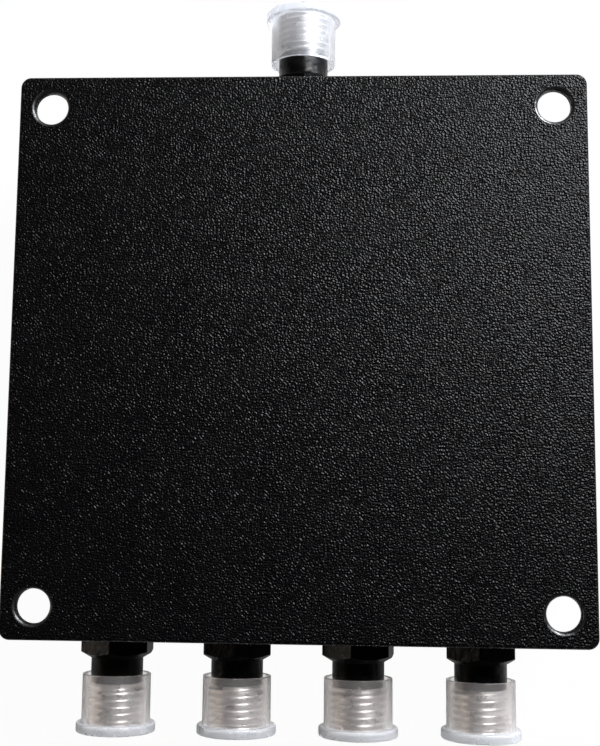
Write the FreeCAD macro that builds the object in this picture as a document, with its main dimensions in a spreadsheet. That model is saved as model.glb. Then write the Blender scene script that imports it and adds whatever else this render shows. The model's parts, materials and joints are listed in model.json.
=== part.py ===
import FreeCAD
import Part
import Sketcher
import math
import os

# Four-way coaxial splitter.
# A milled aluminium housing with a plain textured face carries one input jack on its +Y wall and
# four output jacks on its -Y wall. The housing is open below, where a cover plate closes it. Inside,
# a microstrip board divides the signal in two stages. Every jack wears a push-on dust cap.
# Millimetres, +Z up, textured face on top. The origin is the middle of the cover's underside.

NODE_FOLDER = "parts"
WHOLE_TURN = 360.0
HALF_TURN = 180.0

# The driving dimensions: alias, value, what it is.
DRIVING = [
    ("face_width", 60.0, "textured face along X"),
    ("face_depth", 59.0, "textured face along Y"),
    ("body_height", 15.0, "cover and housing together"),
    ("cover_thickness", 1.5, "cover plate"),
    ("corner_radius", 1.1, "upright corners of housing and cover"),
    ("face_rounding", 0.3, "painted edge round the textured face"),
    ("wall", 5.0, "housing walls"),
    ("cavity_radius", 2.0, "upright corners of the cavity"),
    ("hole_inset", 3.4, "corner hole centre from each outer side"),
    ("hole_width", 3.5, "corner hole for a 3 mm screw"),
    ("hole_chamfer", 0.35, "upper end of a corner hole"),
    ("ear_thickness", 1.0, "corner ear round each hole"),
    ("ear_reach", 3.0, "hole centre to the upright sides of the corner notch"),
    ("notch_radius", 2.0, "inner upright corner of a notch"),
    ("notch_wall", 2.0, "wall between a notch and the cavity"),
    ("axis_height", 7.5, "jack axes above the cover's underside"),
    ("port_margin", 10.9, "face's side to the axis of the first and of the last output jack"),
    ("jack_reach", 9.3, "housing wall to the mouth of a jack"),
    ("thread_width", 6.25, "threaded barrel and threaded spigot"),
    ("thread_clearance", 0.02, "spigot in its tapped hole, radial"),
    ("thread_lead", 0.35, "chamfer at the mouth's end of the barrel"),
    ("neck_width", 5.45, "plain neck between hexagon and barrel"),
    ("neck_length", 2.63, "plain neck between hexagon and barrel"),
    ("hex_width", 7.0, "hexagon across its flats"),
    ("hex_thickness", 2.2, "hexagon along the jack"),
    ("hex_land", 5.7, "flat circle left by the chamfer of the hexagon"),
    ("mouth_width", 4.6, "bore that takes the mating plug"),
    ("mouth_depth", 1.9, "bore that takes the mating plug"),
    ("insulator_width", 4.1, "insulator"),
    ("insulator_clearance", 0.02, "insulator in its bore, radial"),
    ("contact_width", 1.27, "spring socket of the contact"),
    ("contact_clearance", 0.01, "contact in the insulator, radial"),
    ("socket_width", 0.94, "hole in the spring socket"),
    ("socket_depth", 2.8, "hole in the spring socket"),
    ("slot_width", 0.2, "slots that divide the spring socket"),
    ("slot_depth", 2.0, "slots that divide the spring socket"),
    ("pin_width", 0.8, "soldered pin of the contact"),
    ("pin_reach", 2.0, "soldered pin past the housing wall"),
    ("cap_clearance", 0.04, "dust cap on the thread, radial"),
    ("cap_wall", 0.42, "skirt of a dust cap"),
    ("cap_start", 3.9, "housing wall to the open rim of a dust cap"),
    ("cap_play", 0.05, "mouth of the jack to the inside of the dust cap"),
    ("cap_end", 0.5, "closed end of a dust cap"),
    ("cap_flange_width", 8.3, "finger flange of a dust cap"),
    ("cap_flange_thickness", 1.0, "finger flange of a dust cap"),
    ("cap_edge", 0.2, "bevel round the closed end of a dust cap"),
    ("turn_input", 4.0, "how far the hexagon of the input jack is turned, in degrees"),
    ("turn_first", 1.0, "the same for the first output jack"),
    ("turn_second", -4.0, "the same for the second output jack"),
    ("turn_third", 10.0, "the same for the third output jack"),
    ("turn_fourth", 5.0, "the same for the fourth output jack"),
    ("screw_width", 2.0, "shank of every screw"),
    ("screw_clearance", 0.02, "screw in its tapped hole, radial"),
    ("passing_clearance", 0.15, "screw in a plain hole, radial"),
    ("cover_screw_length", 5.5, "countersunk screw over all"),
    ("cover_head_width", 3.6, "countersunk head"),
    ("head_land", 0.15, "straight rim of the countersunk head"),
    ("head_recess", 0.1, "head below the cover's underside"),
    ("drive_width", 2.2, "cross recess across its arms"),
    ("drive_arm", 0.5, "one arm of the cross recess"),
    ("drive_depth", 0.55, "cross recess"),
    ("hole_spare", 0.6, "tapped hole deeper than its screw"),
    ("side_screw_pitch", 26.0, "cover screws along the plain sides"),
    ("board_thickness", 0.8, "laminate of the board"),
    ("board_gap", 0.25, "board to the cavity walls"),
    ("track_thickness", 0.07, "copper and tin of the tracks"),
    ("track_setback", 0.3, "tracks from the board's edge"),
    ("solder_gap", 0.02, "pin to track"),
    ("line_width", 1.5, "track of full width"),
    ("arm_width", 0.8, "track of a divider's arms"),
    ("split_gap", 1.2, "between the ends of a divider's arms"),
    ("first_ring_radius", 6.0, "arms of the first divider, middle of the track"),
    ("first_ring_y", 9.0, "middle of the first divider"),
    ("second_ring_radius", 4.0, "arms of the second dividers, middle of the track"),
    ("second_ring_y", -10.0, "middle of the second dividers"),
    ("first_link_y", -1.0, "track that joins first and second dividers"),
    ("second_link_y", -17.5, "tracks that fan out to the output jacks"),
    ("resistor_length", 2.0, "chip resistor along X"),
    ("resistor_width", 1.25, "chip resistor along Y"),
    ("resistor_height", 0.5, "chip resistor along Z"),
    ("resistor_offset", 1.5, "chip resistor below the end of its arms"),
    ("board_screw_length", 4.8, "pan head screw under its head"),
    ("board_head_width", 3.8, "pan head"),
    ("board_head_height", 1.3, "pan head"),
    ("board_screw_inset", 4.0, "cavity wall to the outer board screws"),
    ("upper_board_screw_y", 12.0, "board screws beside the first divider"),
    ("lower_board_screw_y", -9.0, "board screws beside the second dividers"),
    ("solder_width", 1.8, "solder joint across its pin"),
    ("solder_length", 1.4, "solder joint along its pin"),
    ("solder_height", 0.95, "solder joint below its track"),
]


class Size:
    """A driving dimension, or a sum made of some: its formula for the sheet and its value now."""

    def __init__(self, text, value):
        self.text = text
        self.value = value

    def __add__(self, other):
        other = as_size(other)
        return Size(f"({self.text} + {other.text})", self.value + other.value)

    def __sub__(self, other):
        other = as_size(other)
        return Size(f"({self.text} - {other.text})", self.value - other.value)

    def __mul__(self, factor):
        return Size(f"({self.text} * {factor!r})", self.value * factor)

    def __truediv__(self, divisor):
        return Size(f"({self.text} / {divisor!r})", self.value / divisor)

    def __neg__(self):
        return self * -1.0


def as_size(value):
    return value if isinstance(value, Size) else Size(f"({float(value)!r})", float(value))


def half(size):
    return size / 2.0


doc = FreeCAD.newDocument("splitter")
sheet = doc.addObject("Spreadsheet::Sheet", "Sizes")
for row, (alias, value, meaning) in enumerate(DRIVING, start=1):
    sheet.set(f"A{row}", alias)
    sheet.set(f"B{row}", str(value))
    sheet.set(f"C{row}", meaning)
    sheet.setAlias(f"B{row}", alias)
doc.recompute()

size = {alias: Size(f"Sizes.{alias}", value) for alias, value, meaning in DRIVING}


# Sketches

def new_sketch(body, name, role, offset=None):
    """An empty sketch on one of the body's own origin planes, moved along that plane's normal."""
    sketch = body.newObject("Sketcher::SketchObject", name)
    plane = next(part for part in body.Origin.OriginFeatures if part.Role == role)
    sketch.AttachmentSupport = (plane, [""])
    sketch.MapMode = "FlatFace"
    if offset is not None:
        sketch.setExpression("AttachmentOffset.Base.z", as_size(offset).text)
    return sketch


def pin_value(sketch, kind, geometry, position, value):
    """Holds one coordinate of a point, on an axis of the sketch where it is nothing."""
    value = as_size(value)
    if value.value == 0.0:
        axis = -2 if kind == "DistanceX" else -1
        sketch.addConstraint(Sketcher.Constraint("PointOnObject", geometry, position, axis))
        return
    number = sketch.addConstraint(Sketcher.Constraint(kind, geometry, position, value.value))
    sketch.setExpression(f"Constraints[{number}]", value.text)


def pin_point(sketch, geometry, position, point):
    pin_value(sketch, "DistanceX", geometry, position, point[0])
    pin_value(sketch, "DistanceY", geometry, position, point[1])


def vector(point):
    return FreeCAD.Vector(as_size(point[0]).value, as_size(point[1]).value, 0)


def towards(point, goal, reach):
    """The point moved by reach along the axis that leads to goal."""
    gap = vector(goal) - vector(point)
    if abs(gap.x) > abs(gap.y):
        return (as_size(point[0]) + reach * math.copysign(1.0, gap.x), point[1])
    return (point[0], as_size(point[1]) + reach * math.copysign(1.0, gap.y))


def outline(sketch, corners):
    """A closed outline. A corner is (x, y), or (x, y, radius) between two upright or level sides."""
    knots = []
    for index, corner in enumerate(corners):
        point = corner[:2]
        before = corners[index - 1]
        after = corners[(index + 1) % len(corners)]
        if len(corner) == 2:
            knots.append((point, point))
        else:
            knots.append((towards(point, before, corner[2]), towards(point, after, corner[2])))
    first = sketch.GeometryCount
    for index, (arrive, leave) in enumerate(knots):
        goal = knots[(index + 1) % len(knots)][0]
        sketch.addGeometry(Part.LineSegment(vector(leave), vector(goal)), False)
    for index, (arrive, leave) in enumerate(knots):
        line = first + index
        previous = first + (index - 1) % len(knots)
        pin_point(sketch, line, 1, leave)
        if len(corners[index]) == 2:
            sketch.addConstraint(Sketcher.Constraint("Coincident", previous, 2, line, 1))
        else:
            pin_point(sketch, previous, 2, arrive)
            round_corner(sketch, corners[index], arrive, leave, previous, line)


def round_corner(sketch, corner, arrive, leave, previous, line):
    """The arc from the end of one side to the start of the next."""
    start, end = vector(arrive), vector(leave)
    centre = start + end - vector(corner)
    from_angle = math.atan2(start.y - centre.y, start.x - centre.x)
    to_angle = math.atan2(end.y - centre.y, end.x - centre.x)
    leftward = (start - centre).cross(end - centre).z > 0
    circle = Part.Circle(centre, FreeCAD.Vector(0, 0, 1), corner[2].value)
    angles = (from_angle, to_angle) if leftward else (to_angle, from_angle)
    arc = sketch.addGeometry(Part.ArcOfCircle(circle, *angles), False)
    ends = (1, 2) if leftward else (2, 1)
    sketch.addConstraint(Sketcher.Constraint("Coincident", arc, ends[0], previous, 2))
    sketch.addConstraint(Sketcher.Constraint("Coincident", arc, ends[1], line, 1))
    number = sketch.addConstraint(Sketcher.Constraint("Radius", arc, corner[2].value))
    sketch.setExpression(f"Constraints[{number}]", corner[2].text)


def rectangle(sketch, left, right, low, high):
    outline(sketch, [(left, low), (right, low), (right, high), (left, high)])


def circle(sketch, x, y, diameter):
    centre = vector((x, y))
    ring = Part.Circle(centre, FreeCAD.Vector(0, 0, 1), half(diameter).value)
    geometry = sketch.addGeometry(ring, False)
    pin_point(sketch, geometry, 3, (x, y))
    number = sketch.addConstraint(Sketcher.Constraint("Diameter", geometry, diameter.value))
    sketch.setExpression(f"Constraints[{number}]", diameter.text)


# Features

def new_body(label):
    body = doc.addObject("PartDesign::Body", label)
    body.Label = label
    return body


def tip(body, feature):
    """The feature is worked out and ends the body, and it really changed the solid."""
    doc.recompute()
    before = feature.BaseFeature.Shape.Volume if feature.BaseFeature else 0.0
    if feature.Shape.isNull() or abs(feature.Shape.Volume - before) < 1e-6:
        raise RuntimeError(f"{feature.Label} of {body.Label} changes nothing")
    body.Tip = feature
    return feature


def pad(body, sketch, length):
    feature = body.newObject("PartDesign::Pad", sketch.Name + "_pad")
    feature.Profile = sketch
    feature.setExpression("Length", length.text)
    return tip(body, feature)


def pocket(body, sketch, length, against_normal=False, both_ways=False):
    """Removes the sketch's outline along its plane's normal, or against it."""
    feature = body.newObject("PartDesign::Pocket", sketch.Name + "_pocket")
    feature.Profile = sketch
    feature.setExpression("Length", length.text)
    feature.Reversed = not against_normal
    feature.Midplane = both_ways
    return tip(body, feature)


def revolve(body, sketch, axis="V_Axis", remove=False):
    kind = "PartDesign::Groove" if remove else "PartDesign::Revolution"
    feature = body.newObject(kind, sketch.Name + "_turned")
    feature.Profile = sketch
    feature.ReferenceAxis = (sketch, [axis])
    feature.Angle = WHOLE_TURN
    return tip(body, feature)


def dress(body, kind, value, wanted):
    """A chamfer or fillet on the edges of the body's last feature that wanted picks."""
    base = body.Tip
    chosen = [f"Edge{n}" for n, edge in enumerate(base.Shape.Edges, start=1) if wanted(edge)]
    if not chosen:
        raise RuntimeError(f"no edge of {body.Label} for its {kind}")
    feature = body.newObject(f"PartDesign::{kind}", f"{body.Label}_{kind.lower()}")
    feature.Base = (base, chosen)
    feature.setExpression("Size" if kind == "Chamfer" else "Radius", value.text)
    return tip(body, feature)


def near(first, second):
    return abs(first - second) < 1e-4


def is_level_circle(edge, radius, height):
    """A whole circle of that radius in the level plane at that height."""
    if not isinstance(edge.Curve, Part.Circle) or not edge.isClosed():
        return False
    return near(edge.Curve.Radius, radius.value) and near(edge.Curve.Center.z, height.value)


def copies(label, form, places):
    """One node of several like solids: links to the form, each at its place."""
    links = []
    for number, (x, y, z) in enumerate(places, start=1):
        link = doc.addObject("App::Link", f"{label}_{number}")
        link.LinkedObject = form
        link.LinkTransform = False
        for axis, value in zip("xyz", (x, y, z)):
            link.setExpression(f"Placement.Base.{axis}", as_size(value).text)
        links.append(link)
    group = doc.addObject("Part::Compound", label)
    group.Label = label
    group.Links = links
    return group


# Shared places

half_width = half(size["face_width"])
half_depth = half(size["face_depth"])
hole_x = half_width - size["hole_inset"]
hole_y = half_depth - size["hole_inset"]
notch_x = hole_x - size["ear_reach"]
notch_y = hole_y - size["ear_reach"]
cavity_x = half_width - size["wall"]
cavity_y = half_depth - size["wall"]
track_face = size["axis_height"] + half(size["pin_width"]) + size["solder_gap"]
board_face = track_face + size["track_thickness"]
cavity_top = board_face + size["board_thickness"]
ear_underside = size["body_height"] - size["ear_thickness"]
reference_plane = size["jack_reach"] - size["mouth_depth"]
port_pitch = (size["face_width"] - size["port_margin"] * 2.0) / 3.0
screw_line_x = half_width - half(size["wall"])
screw_line_y = half_depth - half(size["wall"])
first_ring_end = size["first_ring_y"] - size["first_ring_radius"]
second_ring_end = size["second_ring_y"] - size["second_ring_radius"]
tapped_width = size["screw_width"] + size["screw_clearance"] * 2.0
passing_width = size["screw_width"] + size["passing_clearance"] * 2.0
port_columns = [port_pitch * step for step in (-1.5, -0.5, 0.5, 1.5)]

cover_screw_places = [
    (x, y, size["head_recess"])
    for x, y in (
        [(port_pitch * step, screw_line_y * side)
         for side in (-1.0, 1.0) for step in (-1.0, 1.0)]
        + [(screw_line_x * side, size["side_screw_pitch"] * step)
           for side in (-1.0, 1.0) for step in (-0.5, 0.5)]
    )
]
board_screw_x = cavity_x - size["board_screw_inset"]
board_screw_places = [
    (board_screw_x * side, y, board_face)
    for side in (-1.0, 1.0) for y in (size["upper_board_screw_y"], size["lower_board_screw_y"])
] + [(0.0, size["lower_board_screw_y"], board_face)]
resistor_places = [
    (x - half(size["resistor_length"]),
     end - size["resistor_offset"] - half(size["resistor_width"]),
     track_face - size["resistor_height"])
    for x, end in (
        (as_size(0.0), first_ring_end),
        (-port_pitch, second_ring_end),
        (port_pitch, second_ring_end),
    )
]


def notched_outline(sketch, x, y, inner_x, inner_y, outer_radius, inner_radius):
    """A rectangle of half sizes x and y whose four corners are cut back to inner_x and inner_y."""
    quarter = [(x, inner_y, outer_radius), (inner_x, inner_y, inner_radius), (inner_x, y, outer_radius)]
    corners = []
    for side_x, side_y, order in ((1, 1, 1), (-1, 1, -1), (-1, -1, 1), (1, -1, -1)):
        corners += [(px * side_x, py * side_y, radius) for px, py, radius in quarter[::order]]
    outline(sketch, corners)


# Housing and cover

def make_housing():
    body = new_body("housing")
    block = new_sketch(body, "housing_outline", "XY_Plane", size["cover_thickness"])
    radius = size["corner_radius"]
    outline(block, [(half_width * sx, half_depth * sy, radius)
                    for sx, sy in ((1, 1), (-1, 1), (-1, -1), (1, -1))])
    pad(body, block, size["body_height"] - size["cover_thickness"])
    dress(body, "Fillet", size["face_rounding"],
          lambda edge: near(edge.BoundBox.ZMin, size["body_height"].value)
          and near(edge.BoundBox.ZMax, size["body_height"].value))
    cut_notches(body)
    cavity = new_sketch(body, "housing_cavity", "XY_Plane", size["cover_thickness"])
    block_x = notch_x - size["notch_wall"]
    block_y = notch_y - size["notch_wall"]
    notched_outline(cavity, cavity_x, cavity_y, block_x, block_y,
                    size["cavity_radius"], size["cavity_radius"])
    pocket(body, cavity, cavity_top - size["cover_thickness"])
    cut_ports(body)
    cut_tapped_holes(body)
    cut_corner_holes(body)
    return body


def cut_notches(body):
    """Each corner is milled away from below, which leaves an ear level with the face."""
    sketch = new_sketch(body, "housing_notches", "XY_Plane", size["cover_thickness"])
    far_x = half_width + size["ear_reach"]
    far_y = half_depth + size["ear_reach"]
    for sx, sy in ((1, 1), (-1, 1), (-1, -1), (1, -1)):
        outline(sketch, [
            (notch_x * sx, notch_y * sy, size["notch_radius"]),
            (far_x * sx, notch_y * sy),
            (far_x * sx, far_y * sy),
            (notch_x * sx, far_y * sy),
        ])
    pocket(body, sketch, ear_underside - size["cover_thickness"])


def cut_ports(body):
    """A tapped hole through the wall for each jack."""
    tapped = size["thread_width"] + size["thread_clearance"] * 2.0
    outputs = new_sketch(body, "housing_output_holes", "XZ_Plane", half_depth)
    for column in port_columns:
        circle(outputs, column, size["axis_height"], tapped)
    pocket(body, outputs, size["wall"], against_normal=True)
    inlet = new_sketch(body, "housing_input_hole", "XZ_Plane", -half_depth)
    circle(inlet, 0.0, size["axis_height"], tapped)
    pocket(body, inlet, size["wall"])


def cut_tapped_holes(body):
    """Blind holes for the cover screws in the rim, and for the board screws in the cavity's top."""
    rim = new_sketch(body, "housing_rim_holes", "XY_Plane", size["cover_thickness"])
    for x, y, z in cover_screw_places:
        circle(rim, x, y, tapped_width)
    into_rim = size["head_recess"] + size["cover_screw_length"] - size["cover_thickness"]
    pocket(body, rim, into_rim + size["hole_spare"])
    top = new_sketch(body, "housing_board_holes", "XY_Plane", cavity_top)
    for x, y, z in board_screw_places:
        circle(top, x, y, tapped_width)
    pocket(body, top, size["board_screw_length"] - size["board_thickness"] + size["hole_spare"])


def cut_corner_holes(body):
    sketch = new_sketch(body, "housing_corner_holes", "XY_Plane", ear_underside)
    for sx, sy in ((1, 1), (-1, 1), (-1, -1), (1, -1)):
        circle(sketch, hole_x * sx, hole_y * sy, size["hole_width"])
    pocket(body, sketch, size["ear_thickness"])
    radius = half(size["hole_width"])
    dress(body, "Chamfer", size["hole_chamfer"],
          lambda edge: is_level_circle(edge, radius, size["body_height"]))


def make_cover():
    body = new_body("cover_plate")
    sketch = new_sketch(body, "cover_outline", "XY_Plane")
    notched_outline(sketch, half_width, half_depth, notch_x, notch_y,
                    size["corner_radius"], size["notch_radius"])
    pad(body, sketch, size["cover_thickness"])
    holes = new_sketch(body, "cover_holes", "XY_Plane")
    for x, y, z in cover_screw_places:
        circle(holes, x, y, passing_width)
    pocket(body, holes, size["cover_thickness"])
    sink = half(size["cover_head_width"] - size["screw_width"]) + size["head_land"] + size["head_recess"]
    dress(body, "Chamfer", sink,
          lambda edge: is_level_circle(edge, half(passing_width), as_size(0.0)))
    return body


# Screws

def cut_cross_recess(body, head_end):
    """The cross recess, cut along +Z into the head from its outer end."""
    arm = half(size["drive_arm"])
    reach = half(size["drive_width"])
    sketch = new_sketch(body, body.Label + "_recess", "XY_Plane", head_end)
    quarter = [(reach, arm), (arm, arm), (arm, reach)]
    corners = []
    for side_x, side_y, order in ((1, 1, 1), (-1, 1, -1), (-1, -1, 1), (1, -1, -1)):
        corners += [(px * side_x, py * side_y) for px, py in quarter[::order]]
    outline(sketch, corners)
    pocket(body, sketch, size["drive_depth"])


def make_cover_screw():
    """A countersunk screw: head outside at the origin, shank along +Z."""
    body = new_body("cover_screw_form")
    shank = half(size["screw_width"])
    head = half(size["cover_head_width"])
    land = size["head_land"]
    sketch = new_sketch(body, "cover_screw_profile", "XZ_Plane")
    outline(sketch, [
        (0.0, 0.0), (head, 0.0), (head, land), (shank, land + head - shank),
        (shank, size["cover_screw_length"]), (0.0, size["cover_screw_length"]),
    ])
    revolve(body, sketch)
    cut_cross_recess(body, as_size(0.0))
    return body


def make_board_screw():
    """A pan head screw: the head below the origin, the shank along +Z."""
    body = new_body("board_screw_form")
    shank = half(size["screw_width"])
    head = half(size["board_head_width"])
    sketch = new_sketch(body, "board_screw_profile", "XZ_Plane")
    outline(sketch, [
        (0.0, -size["board_head_height"]), (head, -size["board_head_height"]), (head, 0.0),
        (shank, 0.0), (shank, size["board_screw_length"]), (0.0, size["board_screw_length"]),
    ])
    revolve(body, sketch)
    cut_cross_recess(body, -size["board_head_height"])
    return body


# Board

def make_board():
    body = new_body("circuit_board")
    gap = size["board_gap"]
    sketch = new_sketch(body, "board_outline", "XY_Plane", board_face)
    notched_outline(sketch, cavity_x - gap, cavity_y - gap,
                    notch_x - size["notch_wall"] - gap, notch_y - size["notch_wall"] - gap,
                    size["cavity_radius"], size["cavity_radius"])
    pad(body, sketch, size["board_thickness"])
    holes = new_sketch(body, "board_holes", "XY_Plane", board_face)
    for x, y, z in board_screw_places:
        circle(holes, x, y, passing_width)
    pocket(body, holes, size["board_thickness"])
    return body


def add_strip(body, name, boxes):
    """Tracks of one layer: rectangles that stay apart, given as left, right, low, high."""
    sketch = new_sketch(body, name, "XY_Plane", track_face)
    for box in boxes:
        rectangle(sketch, *box)
    pad(body, sketch, size["track_thickness"])


def fan(centre, reach, side):
    """The level track from beside a divider's centre line out to a column, as left and right."""
    start = centre + half(size["split_gap"]) * side
    end = centre + (reach + half(size["line_width"])) * side
    return (start, end) if side > 0 else (end, start)


def make_tracks():
    """Feed, ring-shaped dividers with a gap for the resistor, and the lines that join them."""
    body = new_body("divider_tracks")
    body.AllowCompound = True
    line = half(size["line_width"])
    arm = size["arm_width"]
    centres = [-port_pitch, port_pitch]
    rings = new_sketch(body, "track_rings", "XY_Plane", track_face)
    ring_list = [(as_size(0.0), size["first_ring_y"], size["first_ring_radius"])]
    ring_list += [(x, size["second_ring_y"], size["second_ring_radius"]) for x in centres]
    for x, y, radius in ring_list:
        circle(rings, x, y, radius * 2.0 + arm)
        circle(rings, x, y, radius * 2.0 - arm)
    pad(body, rings, size["track_thickness"])
    gaps = new_sketch(body, "track_gaps", "XY_Plane", track_face)
    for x, y, radius in ring_list:
        rectangle(gaps, x - half(size["split_gap"]), x + half(size["split_gap"]),
                  y - radius - arm, y - radius + arm)
    pocket(body, gaps, size["track_thickness"])
    board_edge = cavity_y - size["board_gap"] - size["track_setback"]
    add_strip(body, "track_feed",
              [(-line, line, size["first_ring_y"] + size["first_ring_radius"] - half(arm), board_edge)]
              + [(x - line, x + line, size["second_ring_y"] + size["second_ring_radius"] - half(arm),
                  size["first_link_y"] + line) for x in centres])
    legs = []
    for x, end, link in [(as_size(0.0), first_ring_end, size["first_link_y"])] \
            + [(x, second_ring_end, size["second_link_y"]) for x in centres]:
        for side in (-1.0, 1.0):
            inner = x + half(size["split_gap"]) * side
            outer = x + (half(size["split_gap"]) + size["line_width"]) * side
            pair = (inner, outer) if side > 0 else (outer, inner)
            legs.append((*pair, link - line, end + half(arm)))
    add_strip(body, "track_legs", legs)
    fans = [(*fan(as_size(0.0), port_pitch, side),
             size["first_link_y"] - line, size["first_link_y"] + line) for side in (-1.0, 1.0)]
    fans += [(*fan(x, half(port_pitch), side),
              size["second_link_y"] - line, size["second_link_y"] + line)
             for x in centres for side in (-1.0, 1.0)]
    add_strip(body, "track_fans", fans)
    add_strip(body, "track_outputs",
              [(x - line, x + line, -board_edge, size["second_link_y"] + line) for x in port_columns])
    return body


def make_resistor():
    form = doc.addObject("Part::Box", "resistor_form")
    form.setExpression("Length", size["resistor_length"].text)
    form.setExpression("Width", size["resistor_width"].text)
    form.setExpression("Height", size["resistor_height"].text)
    return form


def make_solder():
    """A joint that buries the pin, flat against the track above it: along Y from the origin."""
    body = new_body("solder_form")
    sketch = new_sketch(body, "solder_section", "XZ_Plane")
    top = half(size["pin_width"]) + size["solder_gap"]
    base = half(size["solder_width"])
    outline(sketch, [
        (-base, top), (base, top), (half(base), top - size["solder_height"]),
        (-half(base), top - size["solder_height"]),
    ])
    circle(sketch, 0.0, 0.0, size["pin_width"] + size["contact_clearance"] * 2.0)
    pad(body, sketch, size["solder_length"])
    return body


# Jacks and dust caps

def make_jack_body(name):
    """Turned in one piece along +Y from the housing wall: spigot, hexagon, neck and barrel."""
    body = new_body(f"{name}_jack_body")
    bore = half(size["insulator_width"]) + size["insulator_clearance"]
    barrel = half(size["thread_width"])
    neck = half(size["neck_width"])
    mouth = half(size["mouth_width"])
    lead = size["thread_lead"]
    barrel_start = size["hex_thickness"] + size["neck_length"]
    sketch = new_sketch(body, f"{name}_jack_profile", "XY_Plane")
    outline(sketch, [
        (bore, -size["wall"]), (barrel, -size["wall"]), (barrel, 0.0), (neck, 0.0),
        (neck, barrel_start), (barrel, barrel_start),
        (barrel, size["jack_reach"] - lead), (barrel - lead, size["jack_reach"]),
        (mouth, size["jack_reach"]), (mouth, reference_plane), (bore, reference_plane),
    ])
    revolve(body, sketch)
    hexagon = new_sketch(body, f"{name}_hexagon", "XZ_Plane")
    flat = half(size["hex_width"])
    corner = size["hex_width"] / math.sqrt(3.0)
    outline(hexagon, [
        (flat, half(corner)), (0.0, corner), (-flat, half(corner)),
        (-flat, -half(corner)), (0.0, -corner), (flat, -half(corner)),
    ])
    circle(hexagon, 0.0, 0.0, size["insulator_width"] + size["insulator_clearance"] * 2.0)
    feature = pad(body, hexagon, size["hex_thickness"])
    feature.Reversed = True
    tip(body, feature)
    chamfer = new_sketch(body, f"{name}_hexagon_chamfer", "XY_Plane")
    land = half(size["hex_land"])
    fall = (size["hex_width"] - land) * math.tan(math.radians(30.0))
    outline(chamfer, [
        (land, size["hex_thickness"]), (size["hex_width"], size["hex_thickness"] - fall),
        (size["hex_width"], size["hex_thickness"]),
    ])
    revolve(body, chamfer, remove=True)
    return body


def make_insulator(name):
    body = new_body(f"{name}_insulator")
    sketch = new_sketch(body, f"{name}_insulator_profile", "XY_Plane")
    rectangle(sketch, half(size["contact_width"]) + size["contact_clearance"],
              half(size["insulator_width"]), -size["wall"], reference_plane)
    revolve(body, sketch)
    return body


def make_contact(name):
    """A slotted spring socket in front and the soldered pin behind."""
    body = new_body(f"{name}_contact")
    outer = half(size["contact_width"])
    socket = half(size["socket_width"])
    pin = half(size["pin_width"])
    bottom = reference_plane - size["socket_depth"]
    sketch = new_sketch(body, f"{name}_contact_profile", "XY_Plane")
    outline(sketch, [
        (0.0, -(size["wall"] + size["pin_reach"])), (pin, -(size["wall"] + size["pin_reach"])),
        (pin, -size["wall"]), (outer, -size["wall"]), (outer, reference_plane),
        (socket, reference_plane), (socket, bottom), (0.0, bottom),
    ])
    revolve(body, sketch)
    for plane in ("XY_Plane", "YZ_Plane"):
        slot = new_sketch(body, f"{name}_slot_{plane[:2].lower()}", plane)
        across = half(size["slot_width"])
        start = reference_plane - size["slot_depth"]
        if plane == "XY_Plane":
            rectangle(slot, -across, across, start, reference_plane)
        else:
            rectangle(slot, start, reference_plane, -across, across)
        pocket(body, slot, size["contact_width"], both_ways=True)
    return body


def make_cap(name):
    """A thin moulded cup with a finger flange round its closed end."""
    body = new_body(f"{name}_dust_cap")
    inner = half(size["thread_width"]) + size["cap_clearance"]
    outer = inner + size["cap_wall"]
    inside_end = size["jack_reach"] + size["cap_play"]
    outside_end = inside_end + size["cap_end"]
    flange = half(size["cap_flange_width"])
    flange_start = outside_end - size["cap_flange_thickness"]
    edge = size["cap_edge"]
    sketch = new_sketch(body, f"{name}_cap_profile", "XY_Plane")
    outline(sketch, [
        (0.0, inside_end), (inner, inside_end), (inner, size["cap_start"]),
        (outer, size["cap_start"]), (outer, flange_start), (flange, flange_start),
        (flange, outside_end - edge), (flange - edge, outside_end), (0.0, outside_end),
    ])
    revolve(body, sketch)
    return body


def place_on_port(piece, x, outward, turn):
    """Moves a piece made along +Y from the wall to its port, turned about the port's axis."""
    wall_y = half_depth * outward
    piece.setExpression("Placement.Base.x", as_size(x).text)
    piece.setExpression("Placement.Base.y", wall_y.text)
    piece.setExpression("Placement.Base.z", size["axis_height"].text)
    facing = FreeCAD.Rotation(FreeCAD.Vector(0, 0, 1), 0.0 if outward > 0 else HALF_TURN)
    clocking = FreeCAD.Rotation(FreeCAD.Vector(0, 1, 0), turn.value)
    piece.Placement.Rotation = facing.multiply(clocking)


ports = [("input", as_size(0.0), 1.0, size["turn_input"])]
ports += [
    (f"output_{number}", column, -1.0, size[f"turn_{word}"])
    for number, (column, word) in enumerate(zip(port_columns, ("first", "second", "third", "fourth")), 1)
]

nodes = [make_housing(), make_cover()]
nodes.append(copies("cover_screws", make_cover_screw(), cover_screw_places))
nodes.append(make_board())
nodes.append(make_tracks())
nodes.append(copies("isolation_resistors", make_resistor(), resistor_places))
nodes.append(copies("board_screws", make_board_screw(), board_screw_places))
joint_start = cavity_y - size["pin_reach"]
solder_places = [(x, -joint_start, size["axis_height"]) for x in port_columns]
solder_places += [(0.0, joint_start + size["solder_length"], size["axis_height"])]
nodes.append(copies("solder_joints", make_solder(), solder_places))
for port, x, outward, turn in ports:
    for make in (make_jack_body, make_insulator, make_contact, make_cap):
        piece = make(port)
        place_on_port(piece, x, outward, turn)
        nodes.append(piece)
doc.recompute()

for thing in doc.Objects:
    if "Invalid" in thing.State or "Error" in thing.State:
        raise RuntimeError(f"{thing.Label} is in state {thing.State}")
for node in nodes:
    if node.Shape.isNull() or not node.Shape.isValid() or not node.Shape.Solids:
        raise RuntimeError(f"{node.Label} is not a valid solid")

os.makedirs(NODE_FOLDER, exist_ok=True)
for node in nodes:
    node.Shape.exportStep(os.path.join(NODE_FOLDER, f"{node.Label}.step"))
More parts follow.
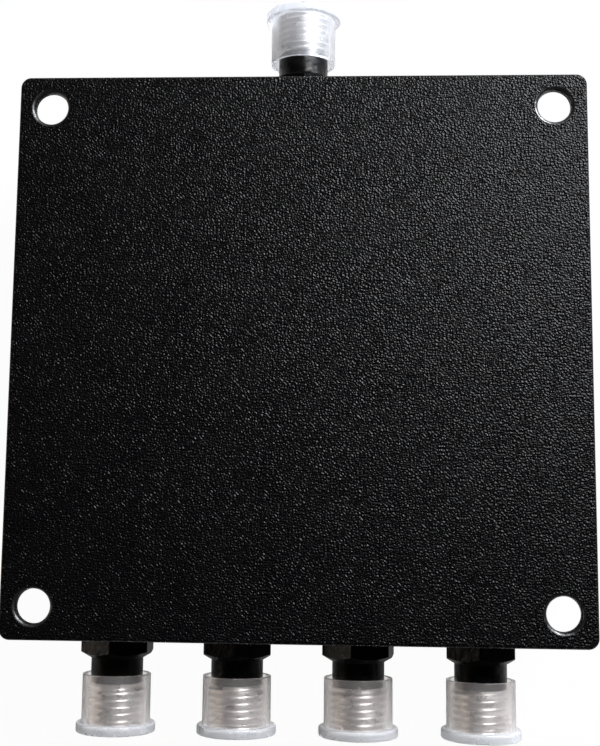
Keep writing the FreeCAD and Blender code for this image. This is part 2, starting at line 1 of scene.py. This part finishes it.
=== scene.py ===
import bmesh
import bpy
import json
import math
from collections import namedtuple
from mathutils import Matrix, Vector


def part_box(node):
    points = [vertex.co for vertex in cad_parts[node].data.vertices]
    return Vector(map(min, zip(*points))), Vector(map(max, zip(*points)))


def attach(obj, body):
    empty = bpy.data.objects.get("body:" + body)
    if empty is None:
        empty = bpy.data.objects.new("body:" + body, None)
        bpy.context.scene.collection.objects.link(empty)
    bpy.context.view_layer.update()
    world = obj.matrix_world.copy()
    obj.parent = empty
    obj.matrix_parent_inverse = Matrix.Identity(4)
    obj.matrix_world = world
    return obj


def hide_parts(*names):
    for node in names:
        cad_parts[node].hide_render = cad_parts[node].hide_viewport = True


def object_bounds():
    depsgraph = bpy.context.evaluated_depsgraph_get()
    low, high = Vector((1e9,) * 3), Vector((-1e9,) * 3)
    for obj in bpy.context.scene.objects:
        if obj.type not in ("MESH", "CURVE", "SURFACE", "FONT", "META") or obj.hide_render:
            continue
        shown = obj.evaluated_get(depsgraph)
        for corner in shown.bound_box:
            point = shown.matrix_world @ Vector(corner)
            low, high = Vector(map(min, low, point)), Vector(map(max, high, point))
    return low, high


# Looks of a four-way coaxial splitter: black textured housing, painted jacks with bare threads,
# and milky push-on dust caps. Metres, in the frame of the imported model.

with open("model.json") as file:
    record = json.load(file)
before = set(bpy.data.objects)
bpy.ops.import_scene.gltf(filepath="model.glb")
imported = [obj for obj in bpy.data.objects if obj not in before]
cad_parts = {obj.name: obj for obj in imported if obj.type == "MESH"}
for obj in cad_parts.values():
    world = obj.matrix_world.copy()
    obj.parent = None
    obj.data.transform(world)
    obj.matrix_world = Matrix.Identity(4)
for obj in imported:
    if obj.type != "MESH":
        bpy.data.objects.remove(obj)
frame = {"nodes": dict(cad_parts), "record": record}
cad_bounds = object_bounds()

MM = 0.001
TURN = 2 * math.pi
OUTPUT_COUNT = 4
PORTS = ["input"] + [f"output_{number}" for number in range(1, OUTPUT_COUNT + 1)]


def add_object(name, data):
    """A new object of the scene."""
    item = bpy.data.objects.new(name, data)
    bpy.context.scene.collection.objects.link(item)
    return item


# Materials: nodes that they share

# Part of a noise's range that most of it fills
NOISE_REACH = (0.3, 0.7)
# Sockets of a Mix node that mixes colours
MIX_SHARE, MIX_FIRST, MIX_SECOND, MIX_RESULT = 0, 6, 7, 2
WHITE = (1, 1, 1, 1)


def new_material(name):
    """A material, its node maker, its linker and its shader."""
    material = bpy.data.materials.new(name)
    material.use_nodes = True
    tree = material.node_tree
    shader = tree.nodes["Principled BSDF"]
    return material, tree.nodes.new, tree.links.new, shader


def set_shader(shader, **values):
    """Sets sockets of the shader, with _ for the spaces in their names."""
    for name, value in values.items():
        shader.inputs[name.replace("_", " ")].default_value = value


def object_noise(make, link, grain, detail):
    """Noise on object coordinates whose grains are about that many metres across."""
    noise = make("ShaderNodeTexNoise")
    noise.inputs["Scale"].default_value = 1 / grain
    noise.inputs["Detail"].default_value = detail
    link(make("ShaderNodeTexCoord").outputs["Object"], noise.inputs["Vector"])
    return noise.outputs["Fac"]


def ramp(make, link, source, reach, colors):
    """Colour that runs from the first to the second as source runs over its reach."""
    node = make("ShaderNodeValToRGB")
    for element, position, color in zip(node.color_ramp.elements, reach, colors):
        element.position = position
        element.color = (*color, 1)
    link(source, node.inputs["Fac"])
    return node.outputs["Color"]


def span(make, link, source, reach, values, easing="LINEAR"):
    """Number that runs from the first value to the second as source runs over its reach."""
    node = make("ShaderNodeMapRange")
    node.interpolation_type = easing
    for socket, value in zip(("From Min", "From Max", "To Min", "To Max"), (*reach, *values)):
        node.inputs[socket].default_value = value
    link(source, node.inputs["Value"])
    return node.outputs["Result"]


def bump(make, link, height, distance):
    """Normal of a surface whose relief follows height, over that distance."""
    node = make("ShaderNodeBump")
    node.inputs["Distance"].default_value = distance
    link(height, node.inputs["Height"])
    return node.outputs["Normal"]


def calculate(make, link, operation, first, second):
    """Result of an operation on a socket and either a number or another socket."""
    node = make("ShaderNodeMath")
    node.operation = operation
    link(first, node.inputs[0])
    if isinstance(second, float):
        node.inputs[1].default_value = second
    else:
        link(second, node.inputs[1])
    return node.outputs["Value"]


def mix_shaders(make, link, share, first, second):
    """The first shader where share is 0, the second where it is 1."""
    node = make("ShaderNodeMixShader")
    link(share, node.inputs["Fac"])
    link(first, node.inputs[1])
    link(second, node.inputs[2])
    return node.outputs["Shader"]


def mottled_material(name, grain, detail, colors, roughness, spread, relief=0.0, **values):
    """A material whose colour, roughness and relief follow one noise."""
    material, make, link, shader = new_material(name)
    set_shader(shader, **values)
    noise = object_noise(make, link, grain, detail)
    link(ramp(make, link, noise, NOISE_REACH, colors), shader.inputs["Base Color"])
    roughnesses = [share * roughness for share in spread]
    link(span(make, link, noise, NOISE_REACH, roughnesses), shader.inputs["Roughness"])
    if relief:
        link(bump(make, link, noise, relief), shader.inputs["Normal"])
    return material


# Materials: paint, metal and plastic

# A spread holds the lowest and the highest share of a material's roughness
WRINKLE_GRAIN = 0.20 * MM
WRINKLE_DETAIL = 0.0
WRINKLE_RELIEF = 0.098 * MM
WRINKLE_REACH = (0.35, 0.7)
WRINKLE_COLORS = ((0.0003, 0.0003, 0.0003), (0.0012, 0.0012, 0.0020))
WRINKLE_GLOSS = 0.22
PATCH_GRAIN = 5.0 * MM
PATCH_DETAIL = 3.0
PATCH_ROUGHNESSES = (0.335, 0.375)

FLOW_GRAIN = 0.9 * MM
FLOW_DETAIL = 3.0
FLOW_RELIEF = 0.08 * MM
FLOW_COLORS = ((0.0008, 0.0008, 0.0008), (0.002, 0.002, 0.002))
FLOW_SPREAD = (0.85, 1.15)

METAL_GRAIN = 1.0 * MM
METAL_DETAIL = 3.0
METAL_RELIEF = 0.002 * MM
METAL_DARKENING = 0.93
METAL_SPREAD = (0.8, 1.2)

PLASTIC_DETAIL = 4.0
PLASTIC_RELIEF = 0.02 * MM
PLASTIC_SPREAD = (0.85, 1.15)

HAZE_GRAIN = 2.5 * MM
HAZE_DETAIL = 2.0
HAZE_SPREAD = (0.9, 1.15)
MILKY_IOR = 1.42


def textured_paint():
    """Fine wrinkled black powder coat, in places a little duller."""
    material, make, link, shader = new_material("textured_paint")
    set_shader(shader, Specular_IOR_Level=WRINKLE_GLOSS)
    wrinkles = object_noise(make, link, WRINKLE_GRAIN, WRINKLE_DETAIL)
    patches = object_noise(make, link, PATCH_GRAIN, PATCH_DETAIL)
    link(ramp(make, link, wrinkles, WRINKLE_REACH, WRINKLE_COLORS), shader.inputs["Base Color"])
    link(span(make, link, patches, NOISE_REACH, PATCH_ROUGHNESSES), shader.inputs["Roughness"])
    link(bump(make, link, wrinkles, WRINKLE_RELIEF), shader.inputs["Normal"])
    return material


def smooth_paint(name, gloss, roughness):
    """The same paint where it lies thin and smooth, on hexagons, necks and hole edges."""
    return mottled_material(name, FLOW_GRAIN, FLOW_DETAIL, FLOW_COLORS, roughness, FLOW_SPREAD,
                            FLOW_RELIEF, Specular_IOR_Level=gloss)


def metal(name, color, roughness):
    """Turned or plated metal with a faint unevenness."""
    dark = tuple(METAL_DARKENING * channel for channel in color)
    return mottled_material(name, METAL_GRAIN, METAL_DETAIL, (dark, color), roughness, METAL_SPREAD,
                            METAL_RELIEF, Metallic=1.0)


def solid_plastic(name, dark, light, roughness, grain):
    """Opaque insulating material, mottled between two tones."""
    return mottled_material(name, grain, PLASTIC_DETAIL, (dark, light), roughness, PLASTIC_SPREAD,
                            PLASTIC_RELIEF)


def milky_plastic(name, dark, light, clearness, roughness):
    """Soft translucent moulding: part of the light scatters, the rest shows what is behind."""
    return mottled_material(name, HAZE_GRAIN, HAZE_DETAIL, (dark, light), roughness, HAZE_SPREAD,
                            Transmission_Weight=clearness, IOR=MILKY_IOR)


# Turned pieces

# Points nearer than WELD are one, and edges that turn by more than SHARP_DEGREES stay sharp
WELD = 1e-7
SHARP_DEGREES = 28
ARC_STEPS = 5

# A ring of a lathe: place(angle) gives how far along the axis it is and its radius, lift is how many
# rings further on it meets itself at the seam, and slot is its material
Ring = namedtuple("Ring", "place lift slot")


def plain_ring(along, radius, slot):
    """A flat round ring."""
    return Ring(lambda angle: (along, radius), 0, slot)


def even_angles(count):
    """Angles of evenly spread columns."""
    return [TURN * number / count for number in range(count)]


def arc(along, radius, rounding, start_degrees, end_degrees):
    """Points of an arc in the lathe's section; 0 degrees points outwards, 90 along +Y."""
    points = []
    for step in range(ARC_STEPS + 1):
        angle = math.radians(start_degrees + (end_degrees - start_degrees) * step / ARC_STEPS)
        points.append((along + rounding * math.sin(angle), radius + rounding * math.cos(angle)))
    return points


def closed_lathe(name, angles, rings, materials):
    """A closed mesh about the Y axis, through rings that lead once round its section."""
    shape = bmesh.new()
    grid = []
    for ring in rings:
        places = [ring.place(angle) for angle in angles]
        grid.append([shape.verts.new((radius * math.sin(angle), along, radius * math.cos(angle)))
                     for angle, (along, radius) in zip(angles, places)])
    for low, ring in enumerate(rings):
        high = (low + 1) % len(rings)
        for column in range(len(angles)):
            following = (column + 1) % len(angles)
            at_seam = following == 0
            low_match = low + ring.lift if at_seam else low
            high_match = high + rings[high].lift if at_seam else high
            corners = [grid[low][column], grid[high][column],
                       grid[high_match][following], grid[low_match][following]]
            if len(set(corners)) < 3:
                continue
            if corners[2] is corners[3]:
                corners.pop()
            face = shape.faces.new(corners)
            face.material_index = ring.slot
            face.smooth = True
    bmesh.ops.remove_doubles(shape, verts=shape.verts, dist=WELD)
    bmesh.ops.dissolve_degenerate(shape, edges=shape.edges, dist=WELD)
    bmesh.ops.recalc_face_normals(shape, faces=shape.faces)
    mesh = bpy.data.meshes.new(name)
    shape.to_mesh(mesh)
    shape.free()
    for material in materials:
        mesh.materials.append(material)
    mesh.set_sharp_from_angle(angle=math.radians(SHARP_DEGREES))
    return add_object(name, mesh)


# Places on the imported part

def port_matrix(port):
    """From a piece's own axes, +Y out along the jack from the wall, to the part's frame."""
    mount = next(m for m in frame["record"]["mounts"] if m["name"] == f"{port}_mouth")
    outward = mount["axis"][1]
    low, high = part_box("housing")
    wall = high.y if outward > 0 else low.y
    facing = Matrix.Rotation(0.0 if outward > 0 else math.pi, 4, "Z")
    return Matrix.Translation((mount["pos_m"][0], wall, mount["pos_m"][2])) @ facing


def own_points(port, node):
    """The vertices of a CAD node in the port's own axes."""
    back = port_matrix(port).inverted()
    return [back @ vertex.co for vertex in frame["nodes"][node].data.vertices]


def place_piece(piece, port, node, body):
    """Puts a piece made in the port's own axes in the place of a CAD node."""
    piece.data.transform(port_matrix(port))
    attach(piece, body)
    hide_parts(node)


# Jack: sizes along it from the housing wall, and radii

PAINTED, BARE = 0, 1
HEX_SIDES = 6
HEX_SIDE = TURN / HEX_SIDES
HEX_HALF = 3.5 * MM
HEX_THICKNESS = 2.2 * MM
HEX_LAND = 2.85 * MM
HEX_EDGE = 0.3 * MM
HEX_CHAMFER = math.radians(30)
# From the jack's axis to the axis of a corner's rounding, and half the angle that the rounding takes
HEX_REACH = (HEX_HALF - HEX_EDGE) / math.cos(HEX_SIDE / 2)
HEX_TANGENT = math.atan2(HEX_EDGE * math.sin(HEX_SIDE / 2),
                         HEX_REACH + HEX_EDGE * math.cos(HEX_SIDE / 2))
SIDE_STEPS = 16
NECK_RADIUS = 2.725 * MM
NECK_END = 4.83 * MM
# Rounding where the neck leaves the hexagon, and its middle point's distance from both
NECK_FILLET = 0.1 * MM
NECK_FILLET_MIDDLE = 0.03 * MM
THREAD_RADIUS = 3.125 * MM
THREAD_PITCH = 0.7056 * MM
THREAD_DEPTH = 0.42 * MM
THREAD_LEAD = 0.35 * MM
MOUTH_RADIUS = 2.3 * MM
MOUTH_DEPTH = 1.9 * MM
MOUTH_EDGE = 0.12 * MM
BORE_RADIUS = 2.07 * MM
# Thread form: share of the pitch, share of the depth below the crest
THREAD_FORM = [(0.0, 0.06), (0.025, 0.0), (0.115, 0.0), (0.14, 0.06), (0.45, 0.92), (0.51, 1.0),
               (0.63, 1.0), (0.69, 0.92)]


def hexagon_radius(angle, corner):
    """Distance from the axis to a hexagon with softened corners, one of them at that angle."""
    off = (angle - corner + HEX_SIDE / 2) % HEX_SIDE - HEX_SIDE / 2
    if abs(off) < HEX_TANGENT:
        return HEX_REACH * math.cos(off) + math.sqrt(HEX_EDGE ** 2 - (HEX_REACH * math.sin(off)) ** 2)
    return HEX_HALF / math.cos(HEX_SIDE / 2 - abs(off))


def column_angles(corner):
    """Angles round the jack: even steps, with extra ones where the hexagon's corners turn."""
    steps = [-HEX_TANGENT, -HEX_TANGENT / 2, 0.0, HEX_TANGENT / 2, HEX_TANGENT]
    steps += [HEX_SIDE * number / SIDE_STEPS for number in range(1, SIDE_STEPS)]
    return [corner + HEX_SIDE * number + step for number in range(HEX_SIDES) for step in steps]


def thread_radius(phase):
    """Radius of the thread at a share of the pitch."""
    phase %= 1.0
    form = THREAD_FORM + [(1.0, THREAD_FORM[0][1])]
    for (start, start_depth), (end, end_depth) in zip(form, form[1:]):
        if phase <= end:
            share = (phase - start) / (end - start)
            return THREAD_RADIUS - THREAD_DEPTH * (start_depth + share * (end_depth - start_depth))


def thread_rings(start, end, first_angle, lead):
    """Rings that follow the helix, held between start and end, and no wider than lead(along).

    A ring climbs by one pitch in a turn, so at the seam it meets the same ring of the next pitch.
    """
    steps = len(THREAD_FORM)
    last = steps * (math.ceil((end - start) / THREAD_PITCH) + 1)
    rings = []
    for number in range(-steps, last + 1):
        pitches, step = divmod(number, steps)
        base = start + THREAD_PITCH * (pitches + THREAD_FORM[step][0])

        def place(angle, base=base):
            climb = THREAD_PITCH * (angle - first_angle) / TURN
            along = min(max(base + climb, start), end)
            phase = (along - climb - start) / THREAD_PITCH
            return along, min(thread_radius(phase), lead(along))
        rings.append(Ring(place, min(steps, last - number), BARE))
    return rings


def jack_rings(corner, first_angle, spigot_end, mouth):
    """All rings of a jack, out along its outside and back along its bore."""
    def hexagon_back(angle):
        return 0.0, hexagon_radius(angle, corner)

    def hexagon_front(angle):
        radius = hexagon_radius(angle, corner)
        return HEX_THICKNESS - (radius - HEX_LAND) * math.tan(HEX_CHAMFER), radius

    def lead(along):
        inner = THREAD_RADIUS - THREAD_LEAD
        return inner + min(along - NECK_END, mouth - along, THREAD_LEAD)

    rings = [
        plain_ring(spigot_end, BORE_RADIUS, BARE),
        plain_ring(spigot_end, THREAD_RADIUS, BARE),
        plain_ring(0.0, THREAD_RADIUS, PAINTED),
        Ring(hexagon_back, 0, PAINTED),
        Ring(hexagon_front, 0, PAINTED),
        plain_ring(HEX_THICKNESS, HEX_LAND, PAINTED),
        plain_ring(HEX_THICKNESS, NECK_RADIUS + NECK_FILLET, PAINTED),
        plain_ring(HEX_THICKNESS + NECK_FILLET_MIDDLE, NECK_RADIUS + NECK_FILLET_MIDDLE, PAINTED),
        plain_ring(HEX_THICKNESS + NECK_FILLET, NECK_RADIUS, PAINTED),
        plain_ring(NECK_END, NECK_RADIUS, BARE),
    ]
    rings += thread_rings(NECK_END, mouth, first_angle, lead)
    rings += [
        plain_ring(mouth, MOUTH_RADIUS + MOUTH_EDGE, BARE),
        plain_ring(mouth - MOUTH_EDGE, MOUTH_RADIUS, BARE),
        plain_ring(mouth - MOUTH_DEPTH, MOUTH_RADIUS, BARE),
        plain_ring(mouth - MOUTH_DEPTH, BORE_RADIUS, BARE),
    ]
    return rings


def make_jack(port, paint, bare):
    """A jack with a real thread, its hexagon turned as on the CAD node that it replaces."""
    node = f"{port}_jack_body"
    points = own_points(port, node)
    widest = max(points, key=lambda point: math.hypot(point.x, point.z))
    corner = math.atan2(widest.x, widest.z)
    spigot_end = min(point.y for point in points)
    mouth = max(point.y for point in points)
    angles = column_angles(corner)
    rings = jack_rings(corner, angles[0], spigot_end, mouth)
    piece = closed_lathe(f"{port}_threaded_jack", angles, rings, [paint, bare])
    place_piece(piece, port, node, "splitter_body")


# Dust cap: sizes along the jack from the housing wall, and radii

WALL, END = 0, 1
CAP_INNER = 3.165 * MM
CAP_OUTER = 3.585 * MM
CAP_START = 3.9 * MM
CAP_INSIDE_END = 9.35 * MM
CAP_END = 9.85 * MM
FLANGE_RADIUS = 4.15 * MM
FLANGE_THICKNESS = 1.0 * MM
FLANGE_START = CAP_END - FLANGE_THICKNESS
CAP_ROUNDING = 0.2 * MM
LIP_ROUNDING = CAP_ROUNDING / 2
# Radius of the pinhole on the axis, through which the section closes
PINHOLE = 0.02 * MM
CAP_COLUMNS = 96


def cap_section():
    """The cap's section from the middle of its inside, round the rim, to the middle of its end."""
    section = [(CAP_INSIDE_END, PINHOLE)]
    section += arc(CAP_INSIDE_END - CAP_ROUNDING, CAP_INNER - CAP_ROUNDING, CAP_ROUNDING, 90, 0)
    section += arc(CAP_START + LIP_ROUNDING, CAP_INNER + LIP_ROUNDING, LIP_ROUNDING, 180, 270)
    section += arc(CAP_START + LIP_ROUNDING, CAP_OUTER - LIP_ROUNDING, LIP_ROUNDING, -90, 0)
    section += arc(FLANGE_START - LIP_ROUNDING, CAP_OUTER + LIP_ROUNDING, LIP_ROUNDING, 180, 90)
    section += arc(FLANGE_START + CAP_ROUNDING, FLANGE_RADIUS - CAP_ROUNDING, CAP_ROUNDING, -90, 0)
    section += arc(CAP_END - CAP_ROUNDING, FLANGE_RADIUS - CAP_ROUNDING, CAP_ROUNDING, 0, 90)
    section += [(CAP_END, PINHOLE)]
    return section


def make_cap(port, wall, end):
    """A cap with a clear wall and a milkier end.

    It casts no shadow, so that light reaches the thread under it as through the real plastic.
    """
    rings = []
    for along, radius in cap_section():
        slot = END if along > FLANGE_START and radius > CAP_INNER else WALL
        rings.append(plain_ring(along, radius, slot))
    piece = closed_lathe(f"{port}_push_on_cap", even_angles(CAP_COLUMNS), rings, [wall, end])
    piece.visible_shadow = False
    place_piece(piece, port, f"{port}_dust_cap", f"{port}_cap")


# Fixing holes of the housing, and the bead of paint that rounds the upper edge of each

HOLE_INSET = 3.4 * MM
HOLE_RADIUS = 1.75 * MM
HOLE_CHAMFER = 0.35 * MM
# How far the bead stays behind the chamfer and the face, and reaches down and out in the metal
BEAD_SKIN = 0.01 * MM
BEAD_TOP_GAP = 0.005 * MM
BEAD_FOOT = 0.2 * MM
BEAD_OVERLAP = 0.02 * MM
BEAD_COLUMNS = 64


def make_hole_rims(paint):
    """A bead of paint in each fixing hole's edge, mostly sunk into the metal."""
    low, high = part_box("housing")
    top = cad_bounds[1][2]
    edge = HOLE_RADIUS + HOLE_CHAMFER
    foot = -HOLE_CHAMFER - BEAD_FOOT
    section = [(foot, edge), (-BEAD_TOP_GAP, edge + BEAD_OVERLAP)]
    section += arc(-HOLE_CHAMFER, edge, HOLE_CHAMFER - BEAD_SKIN, 90, 180)
    section += [(foot, HOLE_RADIUS + BEAD_SKIN)]
    rings = [plain_ring(along, radius, PAINTED) for along, radius in section]
    angles = even_angles(BEAD_COLUMNS)
    upright = Matrix.Rotation(math.pi / 2, 4, "X")
    for x_name, x in (("left", low.x + HOLE_INSET), ("right", high.x - HOLE_INSET)):
        for y_name, y in (("lower", low.y + HOLE_INSET), ("upper", high.y - HOLE_INSET)):
            piece = closed_lathe(f"{y_name}_{x_name}_hole_rim", angles, rings, [paint])
            piece.data.transform(Matrix.Translation((x, y, top)) @ upright)
            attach(piece, "splitter_body")


# Floor

FLOOR_HALF = 1.5
FLOOR_GAP = 0.02 * MM
FLOOR_ROUGHNESS = 0.9
FLOOR_WHITE = (0.9, 0.9, 0.9, 1)
FLOOR_PALE = (0.74, 0.71, 0.69, 1)
# Share of plain white light in what each kind of ray sees of the floor
CAMERA_GLOW = 0.97
CLEAR_GLOW = 0.85
GLOSSY_GLOW = 0.25


def glow_share(make, link, path):
    """How much of the glow a ray sees: the camera and clear surfaces most, glossy ones some."""
    share = calculate(make, link, "MULTIPLY", path.outputs["Is Camera Ray"], CAMERA_GLOW)
    for kind, glow in (("Is Transmission Ray", CLEAR_GLOW), ("Is Glossy Ray", GLOSSY_GLOW)):
        other = calculate(make, link, "MULTIPLY", path.outputs[kind], glow)
        share = calculate(make, link, "MAXIMUM", share, other)
    return share


def floor_material():
    """White to the camera, with the object's shadow, and a dimmer pale floor to everything else.

    From below it is clear, so that the object's underside can be seen.
    """
    material, make, link, shader = new_material("pale_floor")
    set_shader(shader, Roughness=FLOOR_ROUGHNESS, Specular_IOR_Level=0.0)
    path = make("ShaderNodeLightPath")
    tone = make("ShaderNodeMix")
    tone.data_type = "RGBA"
    link(path.outputs["Is Camera Ray"], tone.inputs[MIX_SHARE])
    tone.inputs[MIX_FIRST].default_value = FLOOR_PALE
    tone.inputs[MIX_SECOND].default_value = FLOOR_WHITE
    link(tone.outputs[MIX_RESULT], shader.inputs["Base Color"])
    glow = make("ShaderNodeEmission")
    glow.inputs["Color"].default_value = WHITE
    above = mix_shaders(make, link, glow_share(make, link, path), shader.outputs["BSDF"],
                        glow.outputs["Emission"])
    clear = make("ShaderNodeBsdfTransparent").outputs["BSDF"]
    from_below = make("ShaderNodeNewGeometry").outputs["Backfacing"]
    surface = mix_shaders(make, link, from_below, above, clear)
    link(surface, material.node_tree.nodes["Material Output"].inputs["Surface"])
    return material


def make_floor():
    corners = [(x * FLOOR_HALF, y * FLOOR_HALF, 0) for x, y in ((-1, -1), (1, -1), (1, 1), (-1, 1))]
    mesh = bpy.data.meshes.new("floor")
    mesh.from_pydata(corners, [], [(0, 1, 2, 3)])
    mesh.materials.append(floor_material())
    floor = add_object("floor", mesh)
    floor.location.z = cad_bounds[0][2] - FLOOR_GAP


# Room and lights

ROOM_LEFT = (0.95, 0.82, 0.74)
ROOM_RIGHT = (0.88, 0.94, 1.0)
# Shares of the way from left to right between which the room's colour turns
ROOM_REACH = (0.2, 0.8)
ROOM_HEIGHT = 0.5
HORIZON_STRENGTH = 0.4
OVERHEAD_STRENGTH = 0.02
LIGHT_DISTANCE = 0.5
# Name, direction from the object, width, power and colour
LIGHTS = [
    ("key", (0.45, 0.56, 0.69), 0.16, 3.2, (0.965, 0.975, 1.0)),
    ("window", (0.62, 0.74, 0.24), 0.15, 1.6, (0.88, 0.94, 1.0)),
    ("left_fill", (-0.90, -0.10, 0.25), 0.12, 0.16, (1.0, 0.88, 0.75)),
]


def make_world():
    """A plain room that the camera sees as white: pale round the horizon, dark overhead."""
    world = bpy.data.worlds.new("studio")
    bpy.context.scene.world = world
    world.use_nodes = True
    nodes = world.node_tree.nodes
    make, link = nodes.new, world.node_tree.links.new
    axes = make("ShaderNodeSeparateXYZ")
    link(make("ShaderNodeTexCoord").outputs["Generated"], axes.inputs["Vector"])
    # X runs from -1 at the left to 1 at the right, and across from 0 to 1
    half_across = calculate(make, link, "MULTIPLY", axes.outputs["X"], 0.5)
    across = calculate(make, link, "ADD", half_across, 0.5)
    strength = span(make, link, axes.outputs["Z"], (0.0, ROOM_HEIGHT),
                    (HORIZON_STRENGTH, OVERHEAD_STRENGTH), "SMOOTHSTEP")
    room = nodes["Background"]
    link(ramp(make, link, across, ROOM_REACH, (ROOM_LEFT, ROOM_RIGHT)), room.inputs["Color"])
    link(strength, room.inputs["Strength"])
    white = make("ShaderNodeBackground")
    white.inputs["Color"].default_value = WHITE
    seen = make("ShaderNodeLightPath").outputs["Is Camera Ray"]
    surface = mix_shaders(make, link, seen, room.outputs["Background"], white.outputs["Background"])
    link(surface, nodes["World Output"].inputs["Surface"])


def make_lights():
    """Soft square lamps, each turned to the object."""
    for name, direction, width, power, color in LIGHTS:
        data = bpy.data.lights.new(name, "AREA")
        data.size = width
        data.energy = power
        data.color = color
        lamp = add_object(name, data)
        toward = Vector(direction).normalized()
        lamp.location = toward * LIGHT_DISTANCE
        lamp.rotation_euler = toward.to_track_quat("Z", "Y").to_euler()


# Camera: the photograph's size in pixels, and the pinhole camera fitted to it

PHOTO_WIDTH = 600
PHOTO_HEIGHT = 746
FOCAL_LENGTH_PX = 1227.5
AXIS_X_PX = 280.1
AXIS_Y_PX = 350.0
SENSOR_WIDTH = 36.0
CLIP_START = 1 * MM
CAMERA_PLACE = Vector((4.663, -17.128, 139.815)) * MM
CAMERA_PITCH = -0.1373
CAMERA_YAW = -0.0516
CAMERA_ROLL = -0.0049


def make_camera():
    """The fitted camera: its sensor's width spans the photograph's longer side."""
    data = bpy.data.cameras.new("camera")
    long_side = max(PHOTO_WIDTH, PHOTO_HEIGHT)
    data.sensor_width = SENSOR_WIDTH
    data.lens = FOCAL_LENGTH_PX / long_side * SENSOR_WIDTH
    data.shift_x = (PHOTO_WIDTH / 2 - AXIS_X_PX) / long_side
    data.shift_y = (AXIS_Y_PX - PHOTO_HEIGHT / 2) / long_side
    data.clip_start = CLIP_START
    camera = add_object("camera", data)
    turn = Matrix.Identity(4)
    for angle, axis in ((CAMERA_PITCH, "X"), (CAMERA_YAW, "Y"), (CAMERA_ROLL, "Z")):
        turn = turn @ Matrix.Rotation(-angle, 4, axis)
    camera.matrix_world = Matrix.Translation(CAMERA_PLACE) @ turn
    bpy.context.scene.camera = camera


# Put together

def dress(node, material):
    """Gives a carried-over node its material."""
    mesh = frame["nodes"][node].data
    mesh.materials.clear()
    mesh.materials.append(material)


coat = textured_paint()
thin_coat = smooth_paint("smooth_paint", gloss=0.13, roughness=0.31)
edge_coat = smooth_paint("edge_paint", gloss=1.0, roughness=0.36)
bare_metal = metal("bare_metal", (0.73, 0.725, 0.72), roughness=0.3)
screw_steel = metal("screw_steel", (0.55, 0.55, 0.56), roughness=0.3)
gold = metal("gold_plate", (0.83, 0.62, 0.28), roughness=0.2)
tinned = metal("tinned_copper", (0.80, 0.62, 0.36), roughness=0.35)
solder = metal("solder", (0.62, 0.62, 0.63), roughness=0.18)
insulator_white = solid_plastic("insulator_white", (0.80, 0.80, 0.78), (0.88, 0.88, 0.87),
                                roughness=0.4, grain=0.8 * MM)
laminate = solid_plastic("laminate", (0.62, 0.57, 0.42), (0.72, 0.67, 0.50),
                         roughness=0.5, grain=0.6 * MM)
resistor_black = solid_plastic("resistor_black", (0.02, 0.02, 0.02), (0.05, 0.05, 0.05),
                               roughness=0.4, grain=0.3 * MM)
# The caps' walls are one plastic in two tints. The input cap's cooler, paler copy is painted light,
# for the cool key and window light that fall more fully on that cap.
milky_wall = milky_plastic("milky_wall", (0.91, 0.875, 0.855), (0.955, 0.925, 0.915),
                           clearness=0.92, roughness=0.22)
cool_lit_wall = milky_plastic("cool_lit_wall", (0.92, 0.925, 0.96), (0.95, 0.955, 0.985),
                          clearness=0.9, roughness=0.22)
milky_end = milky_plastic("milky_end", (0.91, 0.93, 0.975), (0.93, 0.95, 0.99),
                          clearness=0.65, roughness=0.28)

for name, material in {
    "housing": coat, "cover_plate": coat, "cover_screws": screw_steel, "circuit_board": laminate,
    "divider_tracks": tinned, "isolation_resistors": resistor_black, "board_screws": screw_steel,
    "solder_joints": solder,
}.items():
    dress(name, material)
for port in PORTS:
    dress(f"{port}_insulator", insulator_white)
    dress(f"{port}_contact", gold)
    make_jack(port, thin_coat, bare_metal)
    # The input cap gets the cooler, paler wall: painted light, not a different plastic.
    make_cap(port, cool_lit_wall if port == "input" else milky_wall, milky_end)

make_hole_rims(edge_coat)
make_floor()
make_world()
make_lights()
make_camera()
bpy.context.scene.view_settings.view_transform = "Standard"
